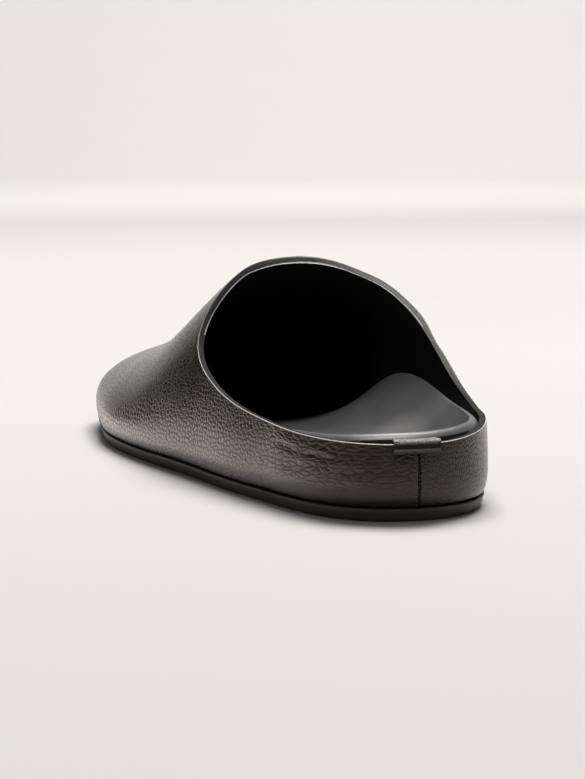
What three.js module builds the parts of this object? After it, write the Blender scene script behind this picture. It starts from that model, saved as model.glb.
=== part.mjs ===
import * as THREE from 'three';

// Left slip-on clog in millimetres.
// The toe points along +Y, the arch side lies at +X and the floor is z = 0.
// All shapes are laid out from the back of the heel, then moved so that the heel rest is the origin.

// Main sizes
const shoeLength = 290;
const ballWidth = 105;
const soleThickness = 4.5;
const toeSpring = 10.8;
const waistLift = 0.4;
const instepHeight = 75.5;
const heelHeight = 25.5;
const wallThickness = 2.4;
const pieceGap = 0.35;
const heelRestFromBack = 45;

// Sole edge
const soleEdgeTaper = 1.2;
const soleEdgeRound = 0.5;
const featherInset = 1.0;

// Lower roll of the upper over the sole edge
const heelRoll = 2.2;
const toeRoll = 2.8;
const archSplay = 7.7;
const splayHeight = 30;
const lastingWidth = 10;

// Heights of the close rows over the lower roll, as shares of the wall thickness
const lowRowShares = [0.3, 1, 2, 3.6, 5.6];

// Footbed
const rimProud = 2.5;
const rimRound = 1.5;
const bedThickness = 5;
const seatThickness = 7.5;

// Heel tab and back seam
const tabWidth = 15.4;
const tabThickness = 1.0;
const tabLeg = 2.9;
const seamWidth = 1.0;
const seamDepth = 0.5;

// Plan of the sole by share of the length, widths as shares of the ball width,
// splay as a share of the arch splay.
const planRows = [
  { at: 0.00, centre: 0.000, medial: 0.350, lateral: 0.330, splay: 0.00 },
  { at: 0.12, centre: 0.012, medial: 0.350, lateral: 0.330, splay: 0.12 },
  { at: 0.24, centre: 0.012, medial: 0.392, lateral: 0.384, splay: 0.69 },
  { at: 0.36, centre: 0.006, medial: 0.380, lateral: 0.420, splay: 1.00 },
  { at: 0.48, centre: 0.000, medial: 0.394, lateral: 0.458, splay: 0.33 },
  { at: 0.60, centre: 0.010, medial: 0.432, lateral: 0.500, splay: 0.03 },
  { at: 0.72, centre: 0.021, medial: 0.489, lateral: 0.504, splay: 0.00 },
  { at: 0.84, centre: 0.025, medial: 0.494, lateral: 0.452, splay: 0.00 },
  { at: 1.00, centre: 0.034, medial: 0.453, lateral: 0.458, splay: 0.00 },
];

// Rounded ends of the plan: length as a share of the shoe length and squareness of the curve
const heelEnd = { share: 0.160, power: 2.12 };
const toeEnd = { share: 0.208, power: 2.36 };

// Top line of the form. Height is a share of the instep height, crest is the sideways place of the
// top line as a share of the ball width, the fullness columns shape each flank and roll is the
// height of the lower roll as a share of the instep height.
const formRows = [
  { at: 0.10, height: 1.200, crest: 0.080, medial: 2.17, lateral: 2.00, roll: 0.106 },
  { at: 0.30, height: 1.150, crest: 0.080, medial: 2.17, lateral: 1.97, roll: 0.106 },
  { at: 0.42, height: 1.131, crest: 0.080, medial: 2.18, lateral: 1.94, roll: 0.106 },
  { at: 0.52, height: 0.974, crest: 0.080, medial: 2.22, lateral: 1.89, roll: 0.119 },
  { at: 0.62, height: 0.766, crest: 0.077, medial: 2.22, lateral: 1.83, roll: 0.132 },
  { at: 0.72, height: 0.612, crest: 0.066, medial: 2.18, lateral: 1.95, roll: 0.159 },
  { at: 0.82, height: 0.508, crest: 0.049, medial: 2.18, lateral: 2.15, roll: 0.172 },
  { at: 0.90, height: 0.458, crest: 0.034, medial: 2.19, lateral: 2.30, roll: 0.172 },
  { at: 1.00, height: 0.431, crest: 0.029, medial: 2.20, lateral: 2.38, roll: 0.172 },
];

// The top line starts and ends inside the plan, so the ribs fan out over heel and toe
const topLine = { fromShare: 0.12, toShare: 0.84, blendShare: 0.10 };

// Top edge by side. Rise is the share of the way from the heel edge up to the throat.
const throatShare = 0.505;
const lateralEdgeRows = [
  { at: 0.000, rise: 0.000 },
  { at: 0.100, rise: 0.022 },
  { at: 0.220, rise: 0.077 },
  { at: 0.340, rise: 0.210 },
  { at: 0.425, rise: 0.470 },
  { at: 0.448, rise: 0.684 },
  { at: 0.471, rise: 0.922 },
];
const medialEdgeRows = [
  { at: 0.000, rise: 0.000 },
  { at: 0.100, rise: 0.070 },
  { at: 0.220, rise: 0.085 },
  { at: 0.300, rise: 0.240 },
  { at: 0.350, rise: 0.560 },
  { at: 0.403, rise: 0.802 },
  { at: 0.457, rise: 0.903 },
];

// Footbed by share of the length. Rims are shares of the cup height, seat is a share of the way
// from the bed thickness to the seat thickness, the slope columns set how soon each side rises.
const bedRows = [
  { at: 0.00, lateral: 1.000, medial: 1.000, seat: 1.0, lateralSlope: 3.2, medialSlope: 3.2 },
  { at: 0.06, lateral: 0.940, medial: 1.030, seat: 1.0, lateralSlope: 3.2, medialSlope: 3.0 },
  { at: 0.13, lateral: 0.905, medial: 1.010, seat: 1.0, lateralSlope: 3.0, medialSlope: 2.8 },
  { at: 0.20, lateral: 0.860, medial: 0.990, seat: 1.0, lateralSlope: 3.0, medialSlope: 2.6 },
  { at: 0.27, lateral: 0.790, medial: 1.010, seat: 1.1, lateralSlope: 3.0, medialSlope: 2.2 },
  { at: 0.34, lateral: 0.680, medial: 1.150, seat: 1.2, lateralSlope: 3.0, medialSlope: 1.9 },
  { at: 0.41, lateral: 0.530, medial: 1.230, seat: 1.1, lateralSlope: 3.0, medialSlope: 1.8 },
  { at: 0.48, lateral: 0.400, medial: 0.980, seat: 0.7, lateralSlope: 3.0, medialSlope: 1.9 },
  { at: 0.57, lateral: 0.290, medial: 0.620, seat: 0.3, lateralSlope: 3.0, medialSlope: 2.2 },
  { at: 0.66, lateral: 0.230, medial: 0.370, seat: 0.0, lateralSlope: 3.0, medialSlope: 3.0 },
  { at: 0.75, lateral: 0.210, medial: 0.220, seat: 0.0, lateralSlope: 3.0, medialSlope: 3.0 },
  { at: 1.00, lateral: 0.210, medial: 0.210, seat: 0.0, lateralSlope: 3.0, medialSlope: 3.0 },
];
const bowlEnds = { heelShare: 0.17, toeShare: 0.10, power: 2.6 };

// Places along the sole where the floor contact ends, as shares of the length
const heelFlatShare = 0.30;
const ballFlatShare = 0.56;
const springShare = 0.66;

// Mesh density
const edgeColumnCount = 30;
const edgeCrowdingPower = 1.5;
const toeColumnCount = 22;
const upperRowCount = 8;
const bedSideCount = 3;
const bedAcrossCount = 16;
const solveCount = 40;

const clamp01 = (value) => Math.min(1, Math.max(0, value));
const mix = (from, to, share) => from + (to - from) * share;
const smoothStep = (value) => clamp01(value) ** 2 * (3 - 2 * clamp01(value));

function naturalSpline(places, values) {
  const last = places.length - 1;
  const bend = places.map(() => 0);
  const carry = places.map(() => 0);
  for (let i = 1; i < last; i += 1) {
    const before = places[i] - places[i - 1];
    const after = places[i + 1] - places[i];
    const change = (values[i + 1] - values[i]) / after - (values[i] - values[i - 1]) / before;
    const pivot = 2 * (before + after) - before * carry[i - 1];
    carry[i] = after / pivot;
    bend[i] = (6 * change - before * bend[i - 1]) / pivot;
  }
  for (let i = last - 1; i > 0; i -= 1) {
    bend[i] -= carry[i] * bend[i + 1];
  }
  return (place) => {
    const held = Math.min(places[last], Math.max(places[0], place));
    const found = places.findIndex((edge, i) => i > 0 && held <= edge);
    const span = places[found] - places[found - 1];
    const right = (held - places[found - 1]) / span;
    const left = 1 - right;
    const sag = (left ** 3 - left) * bend[found - 1] + (right ** 3 - right) * bend[found];
    return left * values[found - 1] + right * values[found] + sag * span ** 2 / 6;
  };
}

function column(rows, name) {
  return naturalSpline(rows.map((row) => row.at), rows.map((row) => row[name]));
}

const planCentre = column(planRows, 'centre');
const planMedial = column(planRows, 'medial');
const planLateral = column(planRows, 'lateral');
const planSplay = column(planRows, 'splay');
const formHeight = column(formRows, 'height');
const formCrest = column(formRows, 'crest');
const formMedial = column(formRows, 'medial');
const formLateral = column(formRows, 'lateral');
const formRoll = column(formRows, 'roll');
const bedLateral = column(bedRows, 'lateral');
const bedMedial = column(bedRows, 'medial');
const bedSeat = column(bedRows, 'seat');
const bedLateralSlope = column(bedRows, 'lateralSlope');
const bedMedialSlope = column(bedRows, 'medialSlope');

// A turn runs round the plan: 0 at the heel, positive along the arch side, pi at the toe
const shareAt = (turn) => (1 - Math.cos(turn)) / 2;
const sideOf = (turn) => (Math.sin(turn) < 0 ? -1 : 1);

function endRound(share) {
  const heel = clamp01(1 - share / heelEnd.share);
  const toe = clamp01(1 - (1 - share) / toeEnd.share);
  const heelPart = (1 - heel ** heelEnd.power) ** (1 / heelEnd.power);
  const toePart = (1 - toe ** toeEnd.power) ** (1 / toeEnd.power);
  return heelPart * toePart;
}

function planPoint(turn) {
  const share = shareAt(turn);
  const half = sideOf(turn) > 0 ? planMedial(share) : planLateral(share);
  const across = planCentre(share) + sideOf(turn) * half * endRound(share);
  return new THREE.Vector2(across * ballWidth, share * shoeLength);
}

function planNormal(turn) {
  const step = 0.002;
  const along = planPoint(turn + step).sub(planPoint(turn - step));
  return new THREE.Vector2(along.y, -along.x).normalize();
}

function insetPoint(turn, inset) {
  return planPoint(turn).addScaledVector(planNormal(turn), -inset);
}

// Underside of the sole: flat under heel and ball, a little waist lift between, toe spring in front
function floorLift(y) {
  const share = y / shoeLength;
  const waist = clamp01((share - heelFlatShare) / (ballFlatShare - heelFlatShare));
  const spring = clamp01((share - springShare) / (1 - springShare));
  return waistLift * Math.sin(waist * Math.PI) ** 2 + toeSpring * spring ** 2;
}

function topLineShare(share) {
  const soften = (gap) => (Math.sqrt(gap ** 2 + topLine.blendShare ** 2 / 4) + gap) / 2;
  const started = topLine.fromShare + soften(share - topLine.fromShare);
  return topLine.toShare - soften(topLine.toShare - started);
}

// Everything that stays the same along one rib of the upper
function ribAt(turn) {
  const share = shareAt(turn);
  const side = sideOf(turn);
  const topShare = topLineShare(share);
  const foot = insetPoint(turn, featherInset);
  const mean = (formMedial(topShare) + formLateral(topShare)) / 2;
  const spread = (formMedial(topShare) - formLateral(topShare)) / 2;
  return {
    side,
    foot,
    normal: planNormal(turn),
    base: soleThickness + pieceGap + floorLift(foot.y),
    top: new THREE.Vector2((planCentre(topShare) + formCrest(topShare)) * ballWidth, topShare * shoeLength),
    fullness: mean + side * spread * endRound(share),
    roll: mix(heelRoll, toeRoll, smoothStep((share - 0.45) / 0.2)),
    rollHeight: formRoll(topShare) * instepHeight,
    splay: side > 0 ? planSplay(share) * archSplay : 0,
  };
}

// Outside of the upper: angle 0 at the sole edge, a quarter turn at the top line
function ribPoint(rib, angle) {
  const power = 2 / rib.fullness;
  const climb = Math.sin(angle) ** power;
  const inward = 1 - Math.max(0, Math.cos(angle)) ** power;
  const plan = rib.foot.clone().lerp(rib.top, inward);
  const height = (formHeight(plan.y / shoeLength) * instepHeight - rib.base) * climb;
  const below = clamp01(1 - height / rib.rollHeight);
  const roll = rib.roll * Math.sqrt(1 - below ** 2) * (1 - climb ** 2);
  plan.addScaledVector(rib.normal, roll);
  const splay = rib.splay * smoothStep(height / splayHeight) * (1 - climb ** 3);
  return new THREE.Vector3(plan.x + splay, plan.y, rib.base + height);
}

function solve(low, high, tooLow) {
  let from = low;
  let to = high;
  for (let i = 0; i < solveCount; i += 1) {
    const middle = (from + to) / 2;
    if (tooLow(middle)) {
      from = middle;
    } else {
      to = middle;
    }
  }
  return (from + to) / 2;
}

function angleAtHeight(rib, z) {
  return solve(0, Math.PI / 2, (angle) => ribPoint(rib, angle).z < z);
}

// Top edge as a smooth curve through its rows, measured along its own run
function edgeCurve(rows) {
  const throatHeight = formHeight(throatShare) * instepHeight;
  const all = [...rows, { at: throatShare, rise: 1 }];
  const heights = all.map((row) => mix(heelHeight, throatHeight, row.rise));
  const runs = [0];
  for (let i = 1; i < all.length; i += 1) {
    const along = (all[i].at - all[i - 1].at) * shoeLength;
    runs.push(runs[i - 1] + Math.hypot(along, heights[i] - heights[i - 1]));
  }
  const length = runs[runs.length - 1];
  const place = naturalSpline(runs, all.map((row) => row.at));
  const height = naturalSpline(runs, heights);
  return (turn) => {
    const share = shareAt(turn);
    const run = solve(0, length, (trial) => place(trial) < share);
    return height(run);
  };
}

const lateralEdge = edgeCurve(lateralEdgeRows);
const medialEdge = edgeCurve(medialEdgeRows);
const throatTurn = Math.acos(1 - 2 * throatShare);

function edgeHeight(turn) {
  return turn < 0 ? lateralEdge(turn) : medialEdge(turn);
}

// Turn at which the plan is a given distance from the centre of the heel
function turnAtWidth(width) {
  return solve(0, throatTurn, (turn) => planPoint(turn).x < width);
}

const tabTurn = turnAtWidth(tabWidth / 2);
const notchTurn = turnAtWidth(tabWidth / 2 + pieceGap);
const notchEndTurn = turnAtWidth(tabWidth / 2 + pieceGap + tabThickness);
const seamTurn = turnAtWidth(seamWidth / 2);

// Turns of one side from heel to toe
function sideTurns() {
  const turns = [0, tabTurn / 2, tabTurn, notchTurn, notchEndTurn];
  for (let i = 1; i <= edgeColumnCount; i += 1) {
    turns.push(mix(notchEndTurn, throatTurn, 1 - (1 - i / edgeColumnCount) ** edgeCrowdingPower));
  }
  for (let i = 1; i <= toeColumnCount; i += 1) {
    turns.push(mix(throatTurn, Math.PI, i / toeColumnCount));
  }
  return turns;
}

function mirrored(turns) {
  const back = turns.slice(1).reverse().map((turn) => -turn);
  return [...back, ...turns];
}

// Closed skin made of shared points
class Skin {
  constructor() {
    this.points = [];
    this.faces = [];
  }

  add(point) {
    this.points.push(point);
    return this.points.length - 1;
  }

  quad(a, b, c, d) {
    this.triangle(a, b, c);
    this.triangle(a, c, d);
  }

  triangle(a, b, c) {
    if (a !== b && b !== c && c !== a) {
      this.faces.push(a, b, c);
    }
  }

  geometry() {
    const geometry = new THREE.BufferGeometry();
    const flat = this.points.flatMap((point) => [point.x, point.y, point.z]);
    geometry.setAttribute('position', new THREE.Float32BufferAttribute(flat, 3));
    geometry.setIndex(this.faces);
    geometry.computeVertexNormals();
    return geometry;
  }
}

function joinRings(skin, lower, upper) {
  for (let i = 0; i < lower.length; i += 1) {
    const next = (i + 1) % lower.length;
    skin.quad(lower[i], lower[next], upper[next], upper[i]);
  }
}

// Closes a ring with strips from side to side, facing up or down
function closeRing(skin, ring, facesUp) {
  const size = ring.length;
  const half = size / 2;
  for (let i = 0; i < half; i += 1) {
    const left = [ring[(size - i) % size], ring[size - i - 1]];
    const right = [ring[i], ring[i + 1]];
    if (facesUp) {
      skin.quad(left[0], right[0], right[1], left[1]);
    } else {
      skin.quad(left[0], left[1], right[1], right[0]);
    }
  }
}

// Ring order: heel, arch side, toe, outer side
function ringTurns() {
  const turns = sideTurns();
  const back = turns.slice(1, -1).reverse().map((turn) => -turn);
  return [...turns, ...back];
}

function soleRing(skin, inset, height) {
  return ringTurns().map((turn) => {
    const point = insetPoint(turn, inset);
    return skin.add(new THREE.Vector3(point.x, point.y, floorLift(point.y) + height));
  });
}

function outsoleGeometry() {
  const skin = new Skin();
  const bottomInner = soleRing(skin, soleEdgeTaper + soleEdgeRound, 0);
  const bottom = soleRing(skin, soleEdgeTaper, soleEdgeRound);
  const shoulder = soleRing(skin, 0, soleThickness - soleEdgeRound);
  const top = soleRing(skin, soleEdgeRound, soleThickness);
  closeRing(skin, bottomInner, false);
  joinRings(skin, bottomInner, bottom);
  joinRings(skin, bottom, shoulder);
  joinRings(skin, shoulder, top);
  closeRing(skin, top, true);
  return skin.geometry();
}

// Rib angles: close rows over the lower roll, then even rows up to the edge or the top line
function ribAngles(rib, turn) {
  const onEdge = Math.abs(turn) <= throatTurn;
  const atThroat = Math.abs(Math.abs(turn) - throatTurn) < 1e-9;
  const closed = !onEdge || atThroat;
  const topAngle = closed ? Math.PI / 2 : angleAtHeight(rib, edgeHeight(turn));
  const low = lowRowShares.map((share) => angleAtHeight(rib, rib.base + share * wallThickness));
  const start = low[low.length - 1];
  const high = [];
  for (let i = 1; i <= upperRowCount; i += 1) {
    high.push(mix(start, topAngle, i / upperRowCount));
  }
  return [0, ...low, ...high];
}

// Ribs of the whole upper with their outside and inside points
function upperRibs(turns) {
  const ribs = turns.map((turn) => {
    const rib = ribAt(turn);
    const outer = ribAngles(rib, turn).map((angle) => ribPoint(rib, angle));
    return { ...rib, turn, outer, onTopLine: Math.abs(turn) >= throatTurn - 1e-9 };
  });
  ribs.forEach((rib, i) => {
    rib.inner = insidePoints(ribs, i);
  });
  return ribs;
}

// Outward direction of the form at one point of the rib grid
function gridNormal(ribs, i, row) {
  const before = ribs[(i + ribs.length - 1) % ribs.length].outer[row];
  const after = ribs[(i + 1) % ribs.length].outer[row];
  const outer = ribs[i].outer;
  const along = after.clone().sub(before);
  const up = outer[Math.min(row + 1, outer.length - 1)].clone().sub(outer[row - 1]);
  return along.cross(up).normalize();
}

// On the top line both flanks share one direction, square to the run of the line
function topLineNormal(ribs, i) {
  const rib = ribs[i];
  const step = 0.004;
  const share = rib.top.y / shoeLength;
  const rise = (formHeight(share + step) - formHeight(share - step)) * instepHeight;
  return new THREE.Vector3(0, -rise, 2 * step * shoeLength).normalize();
}

function insidePoints(ribs, i) {
  const rib = ribs[i];
  const last = rib.outer.length - 1;
  const flat = new THREE.Vector3(rib.normal.x, rib.normal.y, 0);
  return rib.outer.slice(2).map((point, k) => {
    const row = k + 2;
    if (row === last && rib.onTopLine) {
      return point.clone().addScaledVector(topLineNormal(ribs, i), -wallThickness);
    }
    const blend = smoothStep((point.z - rib.base - rib.rollHeight) / rib.rollHeight);
    const out = flat.clone().lerp(gridNormal(ribs, i, row), blend).normalize();
    return point.clone().addScaledVector(out, -wallThickness);
  });
}

// Point of a rib line at a given height
function pointAtHeight(line, z) {
  const found = line.findIndex((point, i) => i > 0 && (point.z >= z || i === line.length - 1));
  const from = line[found - 1];
  const to = line[found];
  const share = (z - from.z) / (to.z - from.z);
  return from.clone().lerp(to, share).setZ(z);
}

function upperTurns() {
  const turns = sideTurns();
  return mirrored([0, seamTurn, ...turns.slice(1)]).slice(1);
}

// Narrow groove of the back seam down the centre of the heel
function withSeam(rib) {
  if (rib.turn !== 0) {
    return rib.outer;
  }
  return rib.outer.map((point) => new THREE.Vector3(point.x, point.y + seamDepth, point.z));
}

function upperGeometry() {
  const skin = new Skin();
  const ribs = upperRibs(upperTurns());
  const twin = new Map();
  const shared = (rib, name, point) => {
    const key = `${name}${Math.abs(rib.turn).toFixed(9)}`;
    if (!twin.has(key)) {
      twin.set(key, skin.add(point));
    }
    return twin.get(key);
  };
  const loops = ribs.map((rib) => {
    const outer = withSeam(rib);
    const outerIds = outer.slice(0, -1).map((point) => skin.add(point));
    const innerIds = rib.inner.slice(0, -1).map((point) => skin.add(point));
    const outerTop = outer[outer.length - 1];
    const innerTop = rib.inner[rib.inner.length - 1];
    outerIds.push(rib.onTopLine ? shared(rib, 'outer', outerTop) : skin.add(outerTop));
    innerIds.push(rib.onTopLine ? shared(rib, 'inner', innerTop) : skin.add(innerTop));
    const hem = insetPoint(rib.turn, featherInset + lastingWidth);
    const hemBase = soleThickness + floorLift(hem.y) + pieceGap;
    const hemTop = skin.add(new THREE.Vector3(hem.x, hem.y, hemBase + wallThickness));
    const hemBottom = skin.add(new THREE.Vector3(hem.x, hem.y, hemBase));
    return { outerIds, down: [...innerIds.reverse(), hemTop, hemBottom, outerIds[0]] };
  });
  loops.forEach((loop, i) => {
    const next = loops[(i + 1) % loops.length];
    const nextRib = ribs[(i + 1) % ribs.length];
    joinLines(skin, loop.outerIds, next.outerIds);
    joinLines(skin, loop.down, next.down);
    const beside = Math.abs(ribs[i].turn) <= throatTurn + 1e-9 && Math.abs(nextRib.turn) <= throatTurn + 1e-9;
    if (beside) {
      const top = loop.outerIds.length - 1;
      skin.quad(loop.outerIds[top], next.outerIds[top], next.down[0], loop.down[0]);
    }
  });
  return skin.geometry();
}

function joinLines(skin, line, nextLine) {
  for (let k = 0; k < line.length - 1; k += 1) {
    skin.quad(line[k], nextLine[k], nextLine[k + 1], line[k + 1]);
  }
}

// Footbed: rim height above the sole top on each side and the bowl between them
const cupHeight = heelHeight + rimProud - soleThickness;

function rimHeight(turn) {
  const share = shareAt(turn);
  const rim = turn < 0 ? bedLateral(share) : bedMedial(share);
  return Math.max(rim * cupHeight, bedThickness);
}

function bowlHeight(share, across) {
  const seat = mix(bedThickness, seatThickness, bedSeat(share));
  const side = mix(bedLateralSlope(share), bedMedialSlope(share), (across + 1) / 2);
  const heel = clamp01(1 - share / bowlEnds.heelShare) ** bowlEnds.power;
  const toe = clamp01(1 - (1 - share) / bowlEnds.toeShare) ** bowlEnds.power;
  const fill = 1 - (1 - Math.abs(across) ** side) * (1 - heel) * (1 - toe);
  const turn = Math.acos(1 - 2 * clamp01(share));
  const rim = mix(rimHeight(-turn), rimHeight(turn), (across + 1) / 2);
  return mix(Math.min(seat, rim), rim, fill);
}

// Side lines of the footbed, kept one gap inside the upper and notched behind the heel tab
function bedSideLine(rib) {
  const notch = Math.abs(rib.turn) < notchTurn + 1e-9 ? tabThickness + pieceGap : 0;
  const low = rib.base + wallThickness + pieceGap;
  const high = rib.base + rimHeight(rib.turn) - rimRound;
  const out = new THREE.Vector3(rib.normal.x, rib.normal.y, 0);
  const line = [];
  for (let i = 0; i <= bedSideCount; i += 1) {
    const point = pointAtHeight(rib.inner, mix(low, high, i / bedSideCount));
    line.push(point.addScaledVector(out, -pieceGap - notch));
  }
  const edge = line[line.length - 1];
  const corner = Math.SQRT1_2;
  const round = (inward, rise) => edge.clone().addScaledVector(out, -inward * rimRound).setZ(edge.z + rise * rimRound);
  return [...line, round(1 - corner, corner), round(1, 1)];
}

function bedUnderRing(skin, ribs, inset, height) {
  return ribs.map((rib) => {
    const point = insetPoint(rib.turn, inset);
    return skin.add(new THREE.Vector3(point.x, point.y, soleThickness + floorLift(point.y) + height));
  });
}

// Bowl from rim to rim, row by row from heel to toe
function addBowl(skin, ring, ribs) {
  const size = ring.length;
  const rows = [];
  for (let i = 0; i <= size / 2; i += 1) {
    const left = skin.points[ring[(size - i) % size]];
    const right = skin.points[ring[i]];
    const share = shareAt(ribs[i].turn);
    const row = [ring[(size - i) % size]];
    for (let k = 1; k < bedAcrossCount; k += 1) {
      const across = Math.sin((k / bedAcrossCount - 0.5) * Math.PI);
      const point = left.clone().lerp(right, (across + 1) / 2);
      point.z = ribs[i].base + bowlHeight(share, across);
      row.push(ring[i] === row[0] ? row[0] : skin.add(point));
    }
    row.push(ring[i]);
    rows.push(row);
  }
  for (let i = 0; i < rows.length - 1; i += 1) {
    for (let k = 0; k < bedAcrossCount; k += 1) {
      skin.quad(rows[i][k], rows[i][k + 1], rows[i + 1][k + 1], rows[i + 1][k]);
    }
  }
}

function footbedGeometry() {
  const skin = new Skin();
  const ordered = ringTurns();
  const byTurn = new Map(upperRibs(mirrored(sideTurns()).slice(1)).map((rib) => [rib.turn, rib]));
  const ribs = ordered.map((turn) => byTurn.get(turn));
  const lines = ribs.map((rib) => bedSideLine(rib).map((point) => skin.add(point)));
  const hemClear = featherInset + lastingWidth + pieceGap;
  const bottom = bedUnderRing(skin, ribs, hemClear, pieceGap);
  const step = bedUnderRing(skin, ribs, hemClear, wallThickness + 2 * pieceGap);
  closeRing(skin, bottom, false);
  joinRings(skin, bottom, step);
  joinRings(skin, step, lines.map((line) => line[0]));
  for (let k = 0; k < lines[0].length - 1; k += 1) {
    joinRings(skin, lines.map((line) => line[k]), lines.map((line) => line[k + 1]));
  }
  addBowl(skin, lines.map((line) => line[line.length - 1]), ribs);
  return skin.geometry();
}

// Heel tab: a strip folded over the top edge at the back seam
function tabSection(rib) {
  const out = new THREE.Vector3(rib.normal.x, rib.normal.y, 0);
  const edge = edgeHeight(rib.turn);
  const inside = -wallThickness - pieceGap;
  const corner = tabThickness * Math.SQRT1_2;
  const profile = [
    { away: pieceGap, rise: -tabLeg },
    { away: pieceGap + tabThickness, rise: -tabLeg },
    { away: pieceGap + tabThickness, rise: pieceGap },
    { away: pieceGap + corner, rise: pieceGap + corner },
    { away: pieceGap, rise: pieceGap + tabThickness },
    { away: inside, rise: pieceGap + tabThickness },
    { away: inside - corner, rise: pieceGap + corner },
    { away: inside - tabThickness, rise: pieceGap },
    { away: inside - tabThickness, rise: -tabLeg },
    { away: inside, rise: -tabLeg },
    { away: inside, rise: pieceGap },
    { away: pieceGap, rise: pieceGap },
  ];
  return profile.map(({ away, rise }) => {
    const point = pointAtHeight(rib.outer, edge + Math.min(rise, 0));
    return point.addScaledVector(out, away).setZ(edge + rise);
  });
}

// Face across the end of the tab, built from the two legs and the fold
function closeTab(skin, ids, facesMedial) {
  const patches = [
    [0, 1, 2, 11],
    [11, 2, 3, 4],
    [11, 4, 5, 10],
    [10, 5, 6, 7],
    [10, 7, 8, 9],
  ];
  patches.forEach((patch) => {
    const corners = facesMedial ? [...patch].reverse() : patch;
    skin.quad(...corners.map((k) => ids[k]));
  });
}

function tabGeometry() {
  const skin = new Skin();
  const turns = [-tabTurn, -tabTurn / 2, 0, tabTurn / 2, tabTurn];
  const byTurn = new Map(upperRibs(mirrored(sideTurns()).slice(1)).map((rib) => [rib.turn, rib]));
  const sections = turns.map((turn) => tabSection(byTurn.get(turn)).map((point) => skin.add(point)));
  for (let i = 0; i < sections.length - 1; i += 1) {
    joinRings(skin, sections[i + 1], sections[i]);
  }
  closeTab(skin, sections[0], false);
  closeTab(skin, sections[sections.length - 1], true);
  return skin.geometry();
}

function piece(name, geometry, color, roughness) {
  geometry.translate(0, -heelRestFromBack, 0);
  const material = new THREE.MeshStandardMaterial({ color, roughness, metalness: 0 });
  material.name = name;
  const mesh = new THREE.Mesh(geometry, material);
  mesh.name = name;
  return mesh;
}

const clog = new THREE.Group();
clog.name = 'clog';
clog.add(piece('outsole', outsoleGeometry(), 0x2b2624, 0.6));
clog.add(piece('upper', upperGeometry(), 0x262321, 0.5));
clog.add(piece('footbed', footbedGeometry(), 0x3b3b3d, 0.65));
clog.add(piece('heel_tab', tabGeometry(), 0x343032, 0.4));

export default clog;
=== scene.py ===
import math

import bpy
import numpy as np
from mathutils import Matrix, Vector


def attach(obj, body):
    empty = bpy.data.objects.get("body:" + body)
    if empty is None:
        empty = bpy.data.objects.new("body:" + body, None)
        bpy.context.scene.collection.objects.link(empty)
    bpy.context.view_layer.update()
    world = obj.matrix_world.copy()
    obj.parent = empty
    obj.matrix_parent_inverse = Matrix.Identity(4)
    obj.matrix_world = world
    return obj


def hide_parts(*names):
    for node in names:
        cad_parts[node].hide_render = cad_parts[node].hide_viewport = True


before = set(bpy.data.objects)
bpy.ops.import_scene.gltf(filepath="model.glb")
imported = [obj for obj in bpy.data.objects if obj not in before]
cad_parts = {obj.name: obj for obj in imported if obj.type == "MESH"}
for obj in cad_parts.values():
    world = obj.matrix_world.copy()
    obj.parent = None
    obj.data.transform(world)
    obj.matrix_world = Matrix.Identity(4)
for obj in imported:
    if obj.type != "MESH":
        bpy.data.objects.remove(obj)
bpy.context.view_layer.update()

# Shoe sizes in millimetres, laid out from the back of the heel, toe along +Y, arch side at +X
MM = 0.001
SHOE_LENGTH = 290.0
BALL_WIDTH = 105.0
SOLE_THICKNESS = 4.5
TOE_SPRING = 10.8
WAIST_LIFT = 0.4
INSTEP_HEIGHT = 75.5
HEEL_HEIGHT = 25.5
WALL = 2.4
GAP = 0.35
HEEL_REST_FROM_BACK = 45.0
FEATHER_INSET = 1.0
HEEL_ROLL = 2.2
TOE_ROLL = 2.8
ARCH_SPLAY = 7.7
SPLAY_HEIGHT = 30.0
LASTING_WIDTH = 10.0
RIM_PROUD = 2.5
RIM_CROWN = 3.3
BED_THICKNESS = 5.0
SEAT_THICKNESS = 7.5
TAB_WIDTH = 15.4
TAB_THICKNESS = 1.0
TAB_LEG = 2.9
THROAT_SHARE = 0.505
HEEL_FLAT_SHARE = 0.30
BALL_FLAT_SHARE = 0.56
SPRING_SHARE = 0.66

# at, centre, medial, lateral, splay
PLAN_ROWS = np.array([
    [0.00, 0.000, 0.350, 0.330, 0.00],
    [0.12, 0.012, 0.350, 0.330, 0.12],
    [0.24, 0.012, 0.392, 0.384, 0.69],
    [0.36, 0.006, 0.380, 0.420, 1.00],
    [0.48, 0.000, 0.394, 0.458, 0.33],
    [0.60, 0.010, 0.432, 0.500, 0.03],
    [0.72, 0.021, 0.489, 0.504, 0.00],
    [0.84, 0.025, 0.494, 0.452, 0.00],
    [1.00, 0.034, 0.453, 0.458, 0.00],
])
# Share of the length that each end takes to close, and its fullness
HEEL_END = (0.160, 2.12)
TOE_END = (0.208, 2.36)

# at, height, crest, medial fullness, lateral fullness, roll height
FORM_ROWS = np.array([
    [0.10, 1.200, 0.080, 2.17, 2.00, 0.106],
    [0.30, 1.150, 0.080, 2.17, 1.97, 0.106],
    [0.42, 1.131, 0.080, 2.18, 1.94, 0.106],
    [0.52, 0.974, 0.080, 2.22, 1.89, 0.119],
    [0.62, 0.766, 0.077, 2.22, 1.83, 0.132],
    [0.72, 0.612, 0.066, 2.18, 1.95, 0.159],
    [0.82, 0.508, 0.049, 2.18, 2.15, 0.172],
    [0.90, 0.458, 0.034, 2.19, 2.30, 0.172],
    [1.00, 0.431, 0.029, 2.20, 2.38, 0.172],
])
# Start, end and soft blend of the line along the top, as shares of the length
TOP_LINE = (0.12, 0.84, 0.10)

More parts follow.
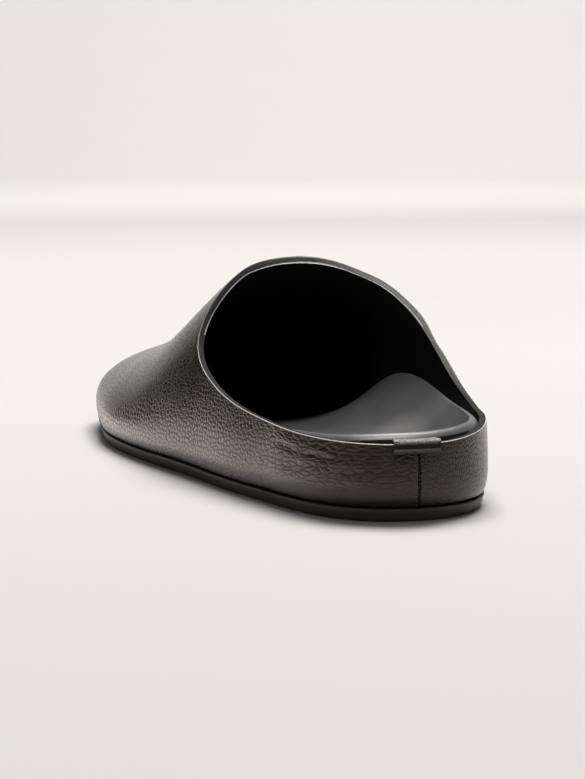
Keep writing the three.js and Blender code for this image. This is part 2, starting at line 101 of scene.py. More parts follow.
# at, rise of the top edge on each side
LATERAL_EDGE = [(0.0, 0.0), (0.1, 0.022), (0.22, 0.077), (0.34, 0.21), (0.425, 0.47),
                (0.448, 0.684), (0.471, 0.922)]
MEDIAL_EDGE = [(0.0, 0.0), (0.1, 0.07), (0.22, 0.085), (0.3, 0.24), (0.35, 0.56),
               (0.403, 0.802), (0.457, 0.903)]

# at, lateral rim, medial rim, seat, lateral slope, medial slope
BED_ROWS = np.array([
    [0.00, 1.000, 1.000, 1.0, 3.2, 3.2],
    [0.06, 0.940, 1.030, 1.0, 3.2, 3.0],
    [0.13, 0.905, 1.010, 1.0, 3.0, 2.8],
    [0.20, 0.860, 0.990, 1.0, 3.0, 2.6],
    [0.27, 0.790, 1.010, 1.1, 3.0, 2.2],
    [0.34, 0.680, 1.150, 1.2, 3.0, 1.9],
    [0.41, 0.530, 1.230, 1.1, 3.0, 1.8],
    [0.48, 0.400, 0.980, 0.7, 3.0, 1.9],
    [0.57, 0.290, 0.620, 0.3, 3.0, 2.2],
    [0.66, 0.230, 0.370, 0.0, 3.0, 3.0],
    [0.75, 0.210, 0.220, 0.0, 3.0, 3.0],
    [1.00, 0.210, 0.210, 0.0, 3.0, 3.0],
])
# Share of the length in which the bed rises to its rim at heel and toe, and the rise's power
BOWL_ENDS = (0.17, 0.10, 2.6)
CUP_HEIGHT = HEEL_HEIGHT + RIM_PROUD - SOLE_THICKNESS


def natural_spline(places, values):
    places = np.asarray(places, float)
    values = np.asarray(values, float)
    count = len(places)
    spans = np.diff(places)
    system = np.zeros((count, count))
    right = np.zeros(count)
    system[0, 0] = system[-1, -1] = 1.0
    for i in range(1, count - 1):
        system[i, i - 1:i + 2] = spans[i - 1], 2 * (spans[i - 1] + spans[i]), spans[i]
        slopes = (values[i + 1] - values[i]) / spans[i] - (values[i] - values[i - 1]) / spans[i - 1]
        right[i] = 6 * slopes
    bend = np.linalg.solve(system, right)

    def value(place):
        held = np.clip(place, places[0], places[-1])
        k = np.clip(np.searchsorted(places, held, side="right") - 1, 0, count - 2)
        b = (held - places[k]) / spans[k]
        a = 1 - b
        sag = (a ** 3 - a) * bend[k] + (b ** 3 - b) * bend[k + 1]
        return a * values[k] + b * values[k + 1] + sag * spans[k] ** 2 / 6
    return value


def columns(rows):
    return [natural_spline(rows[:, 0], rows[:, k]) for k in range(1, rows.shape[1])]


plan_centre, plan_medial, plan_lateral, plan_splay = columns(PLAN_ROWS)
form_height, form_crest, form_medial, form_lateral, form_roll = columns(FORM_ROWS)
bed_lateral, bed_medial, bed_seat, bed_lateral_slope, bed_medial_slope = columns(BED_ROWS)


def smooth(value):
    held = np.clip(value, 0, 1)
    return held * held * (3 - 2 * held)


def share_at(turn):
    return (1 - np.cos(turn)) / 2


def side_of(turn):
    return np.where(np.sin(turn) < 0, -1.0, 1.0)


def end_round(share):
    heel = np.clip(1 - share / HEEL_END[0], 0, 1)
    toe = np.clip(1 - (1 - share) / TOE_END[0], 0, 1)
    heel_part = np.maximum(1 - heel ** HEEL_END[1], 0) ** (1 / HEEL_END[1])
    toe_part = np.maximum(1 - toe ** TOE_END[1], 0) ** (1 / TOE_END[1])
    return heel_part * toe_part


def plan_point(turn):
    share = share_at(turn)
    half = np.where(side_of(turn) > 0, plan_medial(share), plan_lateral(share))
    across = plan_centre(share) + side_of(turn) * half * end_round(share)
    return np.stack([across * BALL_WIDTH, share * SHOE_LENGTH], -1)


def plan_normal(turn):
    step = 0.002
    along = plan_point(turn + step) - plan_point(turn - step)
    out = np.stack([along[..., 1], -along[..., 0]], -1)
    return out / np.linalg.norm(out, axis=-1, keepdims=True)


def inset_point(turn, inset):
    return plan_point(turn) - plan_normal(turn) * inset


def floor_lift(y):
    share = y / SHOE_LENGTH
    waist = np.clip((share - HEEL_FLAT_SHARE) / (BALL_FLAT_SHARE - HEEL_FLAT_SHARE), 0, 1)
    spring = np.clip((share - SPRING_SHARE) / (1 - SPRING_SHARE), 0, 1)
    return WAIST_LIFT * np.sin(waist * np.pi) ** 2 + TOE_SPRING * spring ** 2


def top_line_share(share):
    start, end, blend = TOP_LINE

    def soften(gap):
        return (np.sqrt(gap ** 2 + blend ** 2 / 4) + gap) / 2
    started = start + soften(share - start)
    return end - soften(end - started)


class Ribs:
    """All ribs of the upper at the given turns; every value is one array entry per rib."""

    def __init__(self, turns):
        self.turn = turns
        self.share = share_at(turns)
        self.side = side_of(turns)
        top_share = top_line_share(self.share)
        self.foot = inset_point(turns, FEATHER_INSET)
        self.normal = plan_normal(turns)
        self.base = SOLE_THICKNESS + GAP + floor_lift(self.foot[:, 1])
        top_x = (plan_centre(top_share) + form_crest(top_share)) * BALL_WIDTH
        self.top = np.stack([top_x, top_share * SHOE_LENGTH], -1)
        mean = (form_medial(top_share) + form_lateral(top_share)) / 2
        spread = (form_medial(top_share) - form_lateral(top_share)) / 2
        self.fullness = mean + self.side * spread * end_round(self.share)
        self.roll = HEEL_ROLL + (TOE_ROLL - HEEL_ROLL) * smooth((self.share - 0.45) / 0.2)
        self.roll_height = form_roll(top_share) * INSTEP_HEIGHT
        self.splay = np.where(self.side > 0, plan_splay(self.share) * ARCH_SPLAY, 0)

    def points(self, angle):
        power = (2 / self.fullness)[:, None]
        climb = np.sin(angle) ** power
        inward = 1 - np.maximum(np.cos(angle), 0) ** power
        plan = self.foot[:, None] + (self.top - self.foot)[:, None] * inward[..., None]
        base = self.base[:, None]
        height = (form_height(plan[..., 1] / SHOE_LENGTH) * INSTEP_HEIGHT - base) * climb
        below = np.clip(1 - height / self.roll_height[:, None], 0, 1)
        roll = self.roll[:, None] * np.sqrt(1 - below ** 2) * (1 - climb ** 2)
        plan = plan + self.normal[:, None] * roll[..., None]
        splay = self.splay[:, None] * smooth(height / SPLAY_HEIGHT) * (1 - climb ** 3)
        return np.stack([plan[..., 0] + splay, plan[..., 1], base + height], -1)

    def angle_at(self, z):
        low = np.zeros(len(self.turn))
        high = np.full(len(self.turn), np.pi / 2)
        for _ in range(36):
            middle = (low + high) / 2
            under = self.points(middle[:, None])[:, 0, 2] < z
            low = np.where(under, middle, low)
            high = np.where(under, high, middle)
        return (low + high) / 2


def edge_curve(rows):
    throat_height = form_height(THROAT_SHARE) * INSTEP_HEIGHT
    places = np.array([row[0] for row in rows] + [THROAT_SHARE])
    rises = np.array([row[1] for row in rows] + [1.0])
    heights = HEEL_HEIGHT + (throat_height - HEEL_HEIGHT) * rises
    steps = np.hypot(np.diff(places) * SHOE_LENGTH, np.diff(heights))
    runs = np.concatenate([[0], np.cumsum(steps)])
    fine = np.linspace(0, runs[-1], 1200)
    return natural_spline(runs, places)(fine), natural_spline(runs, heights)(fine)


LATERAL_CURVE = edge_curve(LATERAL_EDGE)
MEDIAL_CURVE = edge_curve(MEDIAL_EDGE)
THROAT_TURN = math.acos(1 - 2 * THROAT_SHARE)


def edge_height(turn):
    share = share_at(turn)
    lateral = np.interp(share, *LATERAL_CURVE)
    medial = np.interp(share, *MEDIAL_CURVE)
    return np.where(turn < 0, lateral, medial)


# Mesh helpers
class Skin:
    """Collects shared points and faces, with a material index for each face."""

    def __init__(self):
        self.points = []
        self.faces = []
        self.slots = []
        self.surface = None

    def add(self, points):
        first = len(self.points)
        self.points.extend(np.asarray(points, float).reshape(-1, 3))
        return np.arange(first, len(self.points)).reshape(np.shape(points)[:-1])

    def face(self, ids, slot):
        kept = [v for i, v in enumerate(ids) if v != ids[i - 1]]
        if len(kept) > 2:
            self.faces.append(kept)
            self.slots.append(slot)

    def strip(self, line, after, slot, closed=False):
        count = len(line)
        for i in range(count if closed else count - 1):
            n = (i + 1) % count
            self.face([line[i], line[n], after[n], after[i]], slot if isinstance(slot, int) else slot[i])

    def mesh(self, name, materials):
        data = bpy.data.meshes.new(name)
        placed = np.array(self.points) - [0, HEEL_REST_FROM_BACK, 0]
        data.from_pydata((placed * MM).tolist(), [], [list(map(int, f)) for f in self.faces])
        for made in materials:
            data.materials.append(made)
        data.polygons.foreach_set("material_index", self.slots)
        data.polygons.foreach_set("use_smooth", [True] * len(self.faces))
        if self.surface is not None:
            layer = data.attributes.new("surface", "FLOAT_VECTOR", "POINT")
            layer.data.foreach_set("vector", (self.surface * MM).astype(np.float32).ravel())
        data.update()
        piece = bpy.data.objects.new(name, data)
        bpy.context.scene.collection.objects.link(piece)
        return piece


SEAM_COLUMNS = (0.10, 0.22, 0.36, 0.54, 0.80)
HEEL_MM_PER_TURN = 63.0
SIDE_EDGE_COLUMNS = 120
SIDE_TOE_COLUMNS = 80
LOW_ROWS = 14
HIGH_ROWS = 50
LOW_HEIGHT = 14.0


def side_turns():
    share = np.linspace(0, 1, SIDE_EDGE_COLUMNS + 1)
    rear = THROAT_TURN * (1 - (1 - share) ** 1.5)
    rear = np.concatenate([[0], np.array(SEAM_COLUMNS) / HEEL_MM_PER_TURN, rear[1:]])
    front = np.linspace(THROAT_TURN, np.pi, SIDE_TOE_COLUMNS + 1)[1:]
    return np.concatenate([rear, front])


def ring_turns():
    turns = side_turns()
    return np.concatenate([turns, -turns[1:-1][::-1]])


def twin_index(i, count):
    return (count - i) % count


def rib_angles(ribs):
    closed = np.abs(ribs.turn) >= THROAT_TURN - 1e-9
    top = np.where(closed, np.pi / 2, ribs.angle_at(edge_height(ribs.turn)))
    low_heights = LOW_HEIGHT * np.linspace(0, 1, LOW_ROWS + 1) ** 1.6
    low = np.stack([ribs.angle_at(ribs.base + h) for h in low_heights], 1)
    low[:, 0] = 0
    share = np.linspace(0, 1, HIGH_ROWS + 1)[1:]
    high = low[:, -1:] + (top[:, None] - low[:, -1:]) * share
    return np.concatenate([low, high], 1), closed


def unit(v):
    return v / np.maximum(np.linalg.norm(v, axis=-1, keepdims=True), 1e-12)


def grid_normals(grid, closed):
    along = np.roll(grid, -1, 0) - np.roll(grid, 1, 0)
    up = np.zeros_like(grid)
    up[:, 1:-1] = grid[:, 2:] - grid[:, :-2]
    up[:, 0] = grid[:, 1] - grid[:, 0]
    up[:, -1] = grid[:, -1] - grid[:, -2]
    out = unit(np.cross(along, up))
    count = len(grid)
    twin = twin_index(np.arange(count), count)
    both = unit(out[:, -1] + out[twin, -1])
    out[closed, -1] = both[closed]
    return out


# Columns on each side of the throat that are evened, and how often
THROAT_REACH = 14
THROAT_ROUNDS = 40
THROAT_COLUMN = SIDE_EDGE_COLUMNS + len(SEAM_COLUMNS)


def even_throat(edge):
    """Evens the lining's edge where both sides meet at the throat."""
    twin = twin_index(THROAT_COLUMN, len(edge))
    one_side = list(range(THROAT_COLUMN - THROAT_REACH, THROAT_COLUMN + 1))
    other_side = list(range(twin + 1, twin + THROAT_REACH + 1))
    loop = one_side + other_side
    line = edge[loop]
    for _ in range(THROAT_ROUNDS):
        line[1:-1] = (line[:-2] + 2 * line[1:-1] + line[2:]) / 4
    edge[loop] = line
    edge[twin] = edge[THROAT_COLUMN]
    return edge


ring = ring_turns()
ribs = Ribs(ring)
angles, on_top_line = rib_angles(ribs)
outer = ribs.points(angles)
normals = grid_normals(outer, on_top_line)

blend = smooth((outer[..., 2] - ribs.base[:, None]) / ribs.roll_height[:, None] - 1)[..., None]
flat_normals = np.concatenate([ribs.normal, np.zeros((len(ring), 1))], 1)[:, None]
inward_normals = unit(flat_normals * (1 - blend) + normals * blend)
inner = outer - inward_normals * WALL
inner[:, -1] = even_throat(inner[:, -1])

# Creases on the outer side: place forward of the heel back and height of the middle, half length, slope,
# bend, half width and depth, in mm and degrees
CREASES = [
    (9, 16.5, 6.5, 2, 0.9, 0.9, 0.16),
    (17, 12.5, 8.0, -4, -0.7, 1.0, 0.14),
    (19, 20.5, 7.0, 3, 0.8, 0.9, 0.14),
    (29, 15.5, 9.0, -2, 1.0, 1.1, 0.16),
    (35, 21.5, 8.0, 4, 0.5, 1.1, 0.13),
    (40, 11.0, 9.0, -5, -0.8, 1.2, 0.13),
    (176, 38.0, 13.0, 24, 1.6, 2.8, 0.08),
    (207, 27.0, 13.0, 12, 1.2, 3.2, 0.08)]

# Waves of the collar on the arch side: place forward of the heel back, height, half width and rise, in mm
COLLAR_WAVES = [(104, 57.0, 5.5, 0.50), (97, 48.0, 3.4, -0.50), (88, 40.0, 6.0, 0.20), (124, 68.0, 6.0, 0.15)]


def crease_relief(grid, out):
    """Soft troughs with a low ridge above each, on the outer side of the shoe."""
    relief = np.zeros(grid.shape[:2])
    outer_side = smooth((-out[..., 0] - 0.05) / 0.3)
    for y, z, half, slope, bend, width, depth in CREASES:
        turn = math.radians(slope)
        dy, dz = grid[..., 1] - y, grid[..., 2] - z
        t = (dy * math.cos(turn) + dz * math.sin(turn)) / half
        off = dz * math.cos(turn) - dy * math.sin(turn) + bend * t * t
        fade = smooth(1.5 * (1 - np.abs(t)))
        trough = np.exp(-(off / width) ** 2) - 0.55 * np.exp(-((off - 1.7 * width) / (1.1 * width)) ** 2)
        relief -= depth * fade * trough
    relief *= outer_side
    inner_side = smooth((out[..., 0] - 0.05) / 0.3)
    for y, z, width, rise in COLLAR_WAVES:
        away = np.hypot(grid[..., 1] - y, grid[..., 2] - z)
        relief += rise * np.exp(-(away / width) ** 2) * inner_side
    return relief


# Back seam: a narrow groove, with the folded edge of the outer-side panel standing a little proud
SEAM_DEPTH = 0.55
SEAM_WIDTH = 0.30
SEAM_STEP = 0.30
SEAM_FOLD = 0.38
SEAM_FOLD_PLACE = 0.70
SEAM_STEP_REACH = 5.0
SEAM_START = 1.5
SEAM_SHARE = 0.02
at_heel = (ribs.share < SEAM_SHARE)[:, None]
seam_x = outer[..., 0] - outer[:1, :, 0]
groove = -SEAM_DEPTH * np.exp(-(seam_x / SEAM_WIDTH) ** 2)
groove += SEAM_FOLD * np.exp(-((seam_x + SEAM_FOLD_PLACE) / SEAM_WIDTH) ** 2)
panel = np.where(seam_x < 0, SEAM_STEP * smooth(1 + seam_x / SEAM_STEP_REACH), 0)
above_base = outer[..., 2] - ribs.base[:, None]
relief = np.where(at_heel, groove + panel, 0) * smooth(above_base / SEAM_START)
relief = relief + crease_relief(outer, normals)
outer_form = outer
outer = outer + normals * relief[..., None]

# Upper: outside leather, cut top edge, lining and turned-in margin as one closed skin
LEATHER, CUT_EDGE, LINING, CORNER, LINING_CORNER = range(5)
# Share of the wall from the outside inwards, and rise above the edge in mm
EDGE_PROFILE = [(0.04, 0.16), (0.12, 0.26), (0.22, 0.30), (0.32, 0.28), (0.40, 0.18), (0.50, 0.04),
                (0.60, 0.12), (0.70, 0.22), (0.84, 0.22), (0.95, 0.12)]
# The outer corner of the edge is pale, partly a painted highlight; high up, the inner corner takes the
# lining's shade
CORNER_SHARE = 0.15
LINING_CORNER_SHARE = 0.8
LINING_CORNER_HEIGHT = 52.0
# First row of the lining above the turned-in margin
FIRST_INNER_ROW = 6
# Stands for the distance to the top edge, in mm, wherever that edge is out of reach
FAR_FROM_EDGE = 100.0


def out_of_edge(edge, out):
    """Direction that points out of the top edge, along the surface."""
    along = np.roll(edge[:-1], -1, 0) - np.roll(edge[:-1], 1, 0)
    along = np.concatenate([along, along[:1]])
    return unit(np.cross(along, out))


def build_upper(outer, inner, normals):
    count, rows = outer.shape[:2]
    skin = Skin()
    outer_ids = skin.add(outer)
    inner_ids = skin.add(inner)
    for i in range(count):
        twin = twin_index(i, count)
        if on_top_line[i] and twin < i:
            outer_ids[i, -1] = outer_ids[twin, -1]
            inner_ids[i, -1] = inner_ids[twin, -1]
    hem = inset_point(ring, FEATHER_INSET + LASTING_WIDTH)
    hem_base = SOLE_THICKNESS + floor_lift(hem[:, 1]) + GAP
    hem_top = skin.add(np.column_stack([hem, hem_base + WALL]))
    hem_low = skin.add(np.column_stack([hem, hem_base]))
    for i in range(count):
        n = (i + 1) % count
        for k in range(rows - 1):
            skin.face([outer_ids[i, k], outer_ids[n, k], outer_ids[n, k + 1], outer_ids[i, k + 1]], LEATHER)
        for k in range(FIRST_INNER_ROW, rows - 1):
            skin.face([inner_ids[n, k], inner_ids[i, k], inner_ids[i, k + 1], inner_ids[n, k + 1]], LINING)
        first, after = inner_ids[i, FIRST_INNER_ROW], inner_ids[n, FIRST_INNER_ROW]
        skin.face([first, after, hem_top[n], hem_top[i]], LINING)
        skin.face([hem_top[i], hem_top[n], hem_low[n], hem_low[i]], LEATHER)
        skin.face([hem_low[i], hem_low[n], outer_ids[n, 0], outer_ids[i, 0]], LEATHER)
    loop = [i % count for i in range(-THROAT_COLUMN, THROAT_COLUMN + 1)]
    top = outer[loop, -1]
    bottom = inner[loop, -1]
    outwards = out_of_edge(top, normals[loop, -1])
    line = outer_ids[loop, -1]
    for across, rise in EDGE_PROFILE:
        points = top + (bottom - top) * across + outwards * rise
        ids = skin.add(points)
        ids[-1] = ids[0]
        in_lining = (top[:, 2] > LINING_CORNER_HEIGHT) & (across > LINING_CORNER_SHARE)
        dark = [LINING_CORNER if shaded else CUT_EDGE for shaded in in_lining]
        skin.strip(line, ids, CORNER if across < CORNER_SHARE else dark)
        line = ids
    skin.strip(line, inner_ids[loop, -1], LINING)
    around, up = surface_lengths(outer)
    skin.surface = np.zeros((len(skin.points), 3))
    from_edge = np.where(on_top_line[:, None], FAR_FROM_EDGE, up[:, -1:] - up)
    skin.surface[outer_ids] = np.stack([np.broadcast_to(around[:, None], up.shape), up, from_edge], -1)
    for ids, drop in ((hem_top, WALL + FEATHER_INSET), (hem_low, FEATHER_INSET + LASTING_WIDTH)):
        skin.surface[ids, 0] = around
        skin.surface[ids, 1:] = -drop, FAR_FROM_EDGE
    return skin, [int(i) for i in outer_ids[loop, -1]]


def surface_lengths(grid):
    """Lengths in mm from the heel along the side and up the side; twin points on the top line agree."""
    count = len(grid)
    half = count // 2
    level = grid[:, LOW_ROWS // 2]
    steps = np.linalg.norm(np.roll(level, -1, 0) - level, axis=1)
    one = np.concatenate([[0], np.cumsum(steps[:half])])
    other = np.concatenate([[0], np.cumsum(steps[::-1][:half])])
    mean = (one + other) / 2
    around = np.array([mean[min(i, count - i)] for i in range(count)])
    rises = np.linalg.norm(np.diff(grid, axis=1), axis=2)
    up = np.concatenate([np.zeros((count, 1)), np.cumsum(rises, 1)], 1)
    twin = twin_index(np.arange(count), count)
    shared = (up[:, -1] + up[twin, -1]) / 2
    scale = np.where(on_top_line, shared / up[:, -1], 1)
    return around, up * scale[:, None]


def material(name):
    made = bpy.data.materials.new(name)
    made.use_nodes = True
    return made


class Nodes:
    """Short spellings for building one material's node tree."""

    def __init__(self, made):
        self.tree = made.node_tree
        self.shader = self.tree.nodes["Principled BSDF"]

    def new(self, kind, **settings):
        node = self.tree.nodes.new(kind)
        for key, value in settings.items():
            setattr(node, key, value)
        return node

    def link(self, source, target):
        self.tree.links.new(source, target)

    def put(self, value, target):
        if isinstance(value, (int, float, tuple)):
            target.default_value = value
        else:
            self.link(value, target)

    def give(self, name, value):
        self.put(value, self.shader.inputs[name])

    def coordinates(self):
        return self.new("ShaderNodeTexCoord").outputs["Object"]

    def split(self, vector):
        node = self.new("ShaderNodeSeparateXYZ")
        self.link(vector, node.inputs[0])
        return node.outputs

    def noise(self, vector, scale, detail=3, roughness=0.5):
        node = self.new("ShaderNodeTexNoise")
        node.inputs["Scale"].default_value = scale
        node.inputs["Detail"].default_value = detail
        node.inputs["Roughness"].default_value = roughness
        self.link(vector, node.inputs["Vector"])
        return node

    def math(self, operation, a, b, clamp=False):
        node = self.new("ShaderNodeMath", operation=operation, use_clamp=clamp)
        self.put(a, node.inputs[0])
        self.put(b, node.inputs[1])
        return node.outputs[0]

    def times(self, first, *others):
        for other in others:
            first = self.math("MULTIPLY", first, other)
        return first

    def rest(self, value):
        return self.math("SUBTRACT", 1.0, value)

    def span(self, value, low, high, to_low=0.0, to_high=1.0):
        node = self.new("ShaderNodeMapRange")
        node.inputs["From Min"].default_value = low
        node.inputs["From Max"].default_value = high
        node.inputs["To Min"].default_value = to_low
        node.inputs["To Max"].default_value = to_high
        self.link(value, node.inputs["Value"])
        return node.outputs[0]

    def mix_color(self, factor, a, b, blend="MIX"):
        node = self.new("ShaderNodeMix", data_type="RGBA", blend_type=blend)
        for slot, value in ((0, factor), (6, a), (7, b)):
            self.put(value, node.inputs[slot])
        return node.outputs[2]

    def gray(self, value):
        node = self.new("ShaderNodeCombineColor")
        for slot in range(3):
            self.link(value, node.inputs[slot])
        return node.outputs[0]

    def bump(self, height, distance, strength=1.0, normal=None):
        node = self.new("ShaderNodeBump")
        node.inputs["Strength"].default_value = strength
        node.inputs["Distance"].default_value = distance
        self.link(height, node.inputs["Height"])
        if normal is not None:
            self.link(normal, node.inputs["Normal"])
        return node.outputs[0]


# Leather grain: round cells with thin valleys, sizes in metres
SIDE_CELL = 0.0018
FINE_CELL = 0.0015
FINE_DRIFT = 0.008
FINE_SKEW = 0.6
HEEL_CELL = 0.0021
GRAIN_WARP = 0.0011
CELL_SHOULDER = 0.38


def warped(n, vector, scale, amount):
    """The same place, shifted by a soft noise so that the cells bend and vary."""
    return warped_by(n, vector, vector, scale, amount)


def warped_by(n, vector, source, scale, amount):
    """A place shifted by a soft noise that is read at another place."""
    noise = n.noise(source, scale, 2)
    centred = n.new("ShaderNodeVectorMath", operation="SUBTRACT")
    n.link(noise.outputs["Color"], centred.inputs[0])
    centred.inputs[1].default_value = (0.5, 0.5, 0.5)
    shifted = n.new("ShaderNodeVectorMath", operation="MULTIPLY_ADD")
    n.link(centred.outputs[0], shifted.inputs[0])
    shifted.inputs[1].default_value = (2 * amount,) * 3
    n.link(vector, shifted.inputs[2])
    return shifted.outputs[0]


def stretched(n, vector, scale):
    node = n.new("ShaderNodeVectorMath", operation="MULTIPLY")
    n.link(vector, node.inputs[0])
    node.inputs[1].default_value = scale
    return node.outputs[0]


def cell_height(n, vector, size, shoulder=CELL_SHOULDER):
    """Round-topped cells of the given size with narrow valleys, from 0 in a valley to 1."""
    cells = n.new("ShaderNodeTexVoronoi", feature="DISTANCE_TO_EDGE", voronoi_dimensions="2D")
    cells.inputs["Scale"].default_value = 1 / size
    cells.inputs["Randomness"].default_value = 0.85
    n.link(vector, cells.inputs["Vector"])
    rise = n.math("MULTIPLY", cells.outputs["Distance"], 1 / shoulder, clamp=True)
    return n.math("MULTIPLY", rise, n.math("SUBTRACT", 2.0, rise))


def pebbled_leather():
    """The upper's leather; places are in metres from the heel rest, toe along y, arch side at x above 0."""
    made = material("tumbled_leather")
    n = Nodes(made)
    place = n.coordinates()
    x, y, z = n.split(place)
    surface = n.new("ShaderNodeAttribute", attribute_name="surface").outputs["Vector"]
    from_seam, _, from_edge = n.split(surface)
    micro = n.noise(place, 3200, 2, 0.5).outputs["Fac"]
    drift = n.noise(place, 45, 2).outputs["Fac"]

    # Four kinds of grain: large on the side, fine on the vamp, upright at the back, wrinkles at the heel
    bent = warped(n, warped(n, surface, 90, GRAIN_WARP), 420, GRAIN_WARP * 0.35)
    skewed = n.new("ShaderNodeVectorMath", operation="MULTIPLY_ADD")
    n.link(place, skewed.inputs[0])
    skewed.inputs[1].default_value = (FINE_SKEW, 0, 0)
    n.link(bent, skewed.inputs[2])
    drifted = warped_by(n, skewed.outputs[0], place, 20, FINE_DRIFT)
    side = cell_height(n, stretched(n, bent, (0.74, 1, 1)), SIDE_CELL)
    fine = cell_height(n, stretched(n, drifted, (0.62, 1, 1)), FINE_CELL)
    upright = cell_height(n, stretched(n, bent, (1.5, 0.85, 1)), FINE_CELL)
    wrinkle = cell_height(n, stretched(n, bent, (0.44, 1.3, 1)), HEEL_CELL, 0.32)

    # Share of each kind at a place
    outer_side = n.span(n.math("ADD", x, n.span(drift, 0, 1, -0.008, 0.008)), 0.004, -0.022)
    lateral = n.times(outer_side, n.span(z, 0.034, 0.021, 0.22, 1.0))
    at_back = n.times(n.span(y, 0.030, 0.005), n.span(x, -0.004, 0.001))
    fine = n.math("ADD", n.times(fine, n.rest(at_back)), n.times(upright, at_back))
    rear = n.times(n.span(y, 0.028, -0.012), n.span(x, 0.001, -0.003))
    side_share = n.times(lateral, n.rest(rear))
    plain = n.rest(n.math("MAXIMUM", lateral, rear))
    folded = n.span(n.math("ADD", z, n.span(drift, 0, 1, -0.004, 0.004)), 0.008, 0.014, 0.30, 1.0)

    # Relief: the grain fades towards the toe and above the sole
    big = n.times(side, side_share, n.span(y, 0.235, 0.150, 0.45, 1.0))
    long = n.times(wrinkle, rear, folded)
    small = n.times(fine, n.span(plain, 0, 1, 0.12, 0.9))
    height = n.math("ADD", n.math("ADD", big, n.times(long, 1.1)), small)
    depth = n.times(n.span(drift, 0.3, 0.7, 0.7, 1.1), n.span(z, 0.006, 0.013, 0.35, 1.0))
    height = n.math("ADD", n.times(height, depth), n.times(micro, 0.05))
    n.give("Normal", n.bump(height, 0.00011, 1.0))

    # Colour: painted shade darkens the valleys, apart from the lowest strip at the heel
    patches = n.noise(place, 22, 3).outputs["Fac"]
    color = n.mix_color(patches, (0.0105, 0.0090, 0.0078, 1), (0.0165, 0.0142, 0.0122, 1))
    tops = n.math("ADD", n.times(side, side_share), n.times(wrinkle, rear))
    tops = n.math("ADD", tops, n.times(n.span(fine, 0.0, 0.7), plain))
    smooth_heel = n.times(rear, n.rest(folded))
    valley = n.rest(n.span(tops, 0.0, 0.6))
    valley = n.times(valley, n.span(smooth_heel, 0, 0.7, 1, 0))
    color = n.mix_color(1.0, color, n.gray(n.span(valley, 0.0, 1.0, 1.0, 0.35)), "MULTIPLY")
    # Painted sheen: a lighter band low on the outer side, standing in for the floor's reflection
    painted_sheen = n.times(n.span(z, 0.019, 0.009), n.span(y, -0.015, 0.030))
    painted_sheen = n.times(painted_sheen, n.span(y, 0.150, 0.100), outer_side)
    color = n.mix_color(n.times(painted_sheen, 0.8), color, (0.050, 0.044, 0.039, 1))
    # Painted highlight: a light line on the fold beside the back seam, on the outer side
    fold_highlight = n.times(n.span(from_seam, 0.0003, 0.0005), n.span(from_seam, 0.0012, 0.0009))
    fold_highlight = n.times(fold_highlight, n.math("LESS_THAN", x, 0.0))
    color = n.mix_color(fold_highlight, color, (0.085, 0.076, 0.068, 1))
    # Raw leather along the top edge, with a painted highlight, fainter towards the throat
    raw_edge_and_highlight = n.times(n.span(from_edge, 0.00034, 0.00018), n.span(z, 0.026, 0.060, 1.0, 0.25))
    raw_edge_and_highlight = n.times(raw_edge_and_highlight, n.span(micro, 0.30, 0.55, 0.60, 1.0))
    color = n.mix_color(raw_edge_and_highlight, color, (0.62, 0.60, 0.57, 1))
    n.give("Base Color", color)
    n.give("Roughness", n.span(valley, 0.0, 1.0, 0.22, 0.62))
    n.give("Specular IOR Level", 0.34)
    n.give("Specular Tint", (1.0, 0.91, 0.82, 1))
    n.give("Coat Weight", 0.25)
    n.give("Coat Roughness", 0.16)
    return made


def cut_edge():
    made = material("cut_edge")
    n = Nodes(made)
    place = n.coordinates()
    x, _, z = n.split(place)
    fibre = n.noise(place, 1500, 4, 0.65).outputs["Fac"]
    color = n.mix_color(n.span(fibre, 0.35, 0.65), (0.003, 0.003, 0.003, 1), (0.022, 0.0215, 0.021, 1))
    wear_and_highlight = n.times(n.span(x, 0.014, 0.030), n.span(z, 0.030, 0.042))
    wear_and_highlight = n.times(wear_and_highlight, n.span(fibre, 0.30, 0.60, 0.4, 1.0))
    color = n.mix_color(wear_and_highlight, color, (0.11, 0.108, 0.104, 1))
    n.give("Base Color", color)
    n.give("Normal", n.bump(fibre, 0.0002, 0.8))
    n.give("Roughness", 0.8)
    n.give("Specular IOR Level", 0.15)
    return made


def cut_corner(name="cut_corner", shade=1.0):
    """Corner of the cut edge, polished and pale where a layer of leather ends; the pale is partly a painted
    highlight, which fades higher up.
    """
    made = material(name)
    n = Nodes(made)
    place = n.coordinates()
    fibre = n.noise(place, 1100, 3, 0.6).outputs["Fac"]
    wear = n.noise(place, 90, 2).outputs["Fac"]
    _, _, z = n.split(place)
    pale_share = n.times(n.span(fibre, 0.30, 0.60, 0.70, 1.0), n.span(wear, 0.35, 0.60, 0.75, 1.0))
    pale_share = n.times(pale_share, n.span(z, 0.028, 0.064, 1.0, 0.22))
    light = tuple(c * shade for c in (0.75, 0.73, 0.70)) + (1,)
    n.give("Base Color", n.mix_color(pale_share, (0.03, 0.029, 0.028, 1), light))
    n.give("Normal", n.bump(fibre, 0.00012, 0.6))
    n.give("Roughness", 0.30)
    return made


def lining_leather():
    made = material("lining_leather")
    n = Nodes(made)
    grain = n.noise(n.coordinates(), 700, 4, 0.6).outputs["Fac"]
    n.give("Base Color", n.mix_color(grain, (0.0030, 0.0030, 0.0028, 1), (0.0050, 0.0050, 0.0046, 1)))
    n.give("Normal", n.bump(grain, 0.0002, 0.5))
    n.give("Roughness", 0.8)
    n.give("Specular IOR Level", 0.15)
    return made


